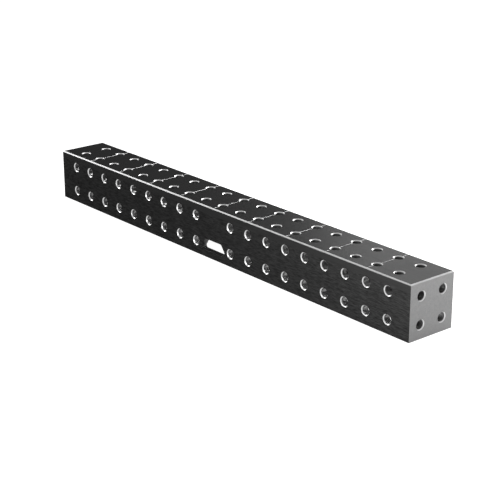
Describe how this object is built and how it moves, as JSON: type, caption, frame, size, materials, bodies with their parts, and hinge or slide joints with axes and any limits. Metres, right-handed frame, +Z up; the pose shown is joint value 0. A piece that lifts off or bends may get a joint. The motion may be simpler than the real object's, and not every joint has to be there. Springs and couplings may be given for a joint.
{
  "type": "welding table block",
  "caption": "Square U-shaped steel clamping block with a grid of round bores on every face, scribed cross lines on top, a low hand opening in each long side and cross ribs inside.",
  "frame": {"origin": "middle of the footprint, on the surface that the open underside rests on", "axes": "+X along the block to its right end, +Y from the front side to the rear side, +Z up"},
  "size_m": [1, 0.1, 0.1],
  "materials": {
    "nitrided_steel": "machined flat, nitrided dark grey, fine lengthwise brush marks, satin",
    "rib_steel": "rolled plate, nitrided dark grey with the block, dull",
    "weld_metal": "rippled weld bead, nitrided with the block, satin"
  },
  "bodies": {
    "root": {"top_plate": "nitrided_steel", "front_side_plate": "nitrided_steel", "rear_side_plate": "nitrided_steel", "left_end_plate": "nitrided_steel", "right_end_plate": "nitrided_steel", "outer_left_rib": "rib_steel", "inner_left_rib": "rib_steel", "inner_right_rib": "rib_steel", "outer_right_rib": "rib_steel", "front_seam_welds": "weld_metal", "rear_seam_welds": "weld_metal", "left_end_front_weld": "weld_metal", "left_end_rear_weld": "weld_metal", "left_end_top_weld": "weld_metal", "right_end_front_weld": "weld_metal", "right_end_rear_weld": "weld_metal", "right_end_top_weld": "weld_metal", "outer_left_rib_front_welds": "weld_metal", "outer_left_rib_rear_welds": "weld_metal", "outer_left_rib_top_welds": "weld_metal", "inner_left_rib_front_welds": "weld_metal", "inner_left_rib_rear_welds": "weld_metal", "inner_left_rib_top_welds": "weld_metal", "inner_right_rib_front_welds": "weld_metal", "inner_right_rib_rear_welds": "weld_metal", "inner_right_rib_top_welds": "weld_metal", "outer_right_rib_front_welds": "weld_metal", "outer_right_rib_rear_welds": "weld_metal", "outer_right_rib_top_welds": "weld_metal"}
  },
  "joints": []
}
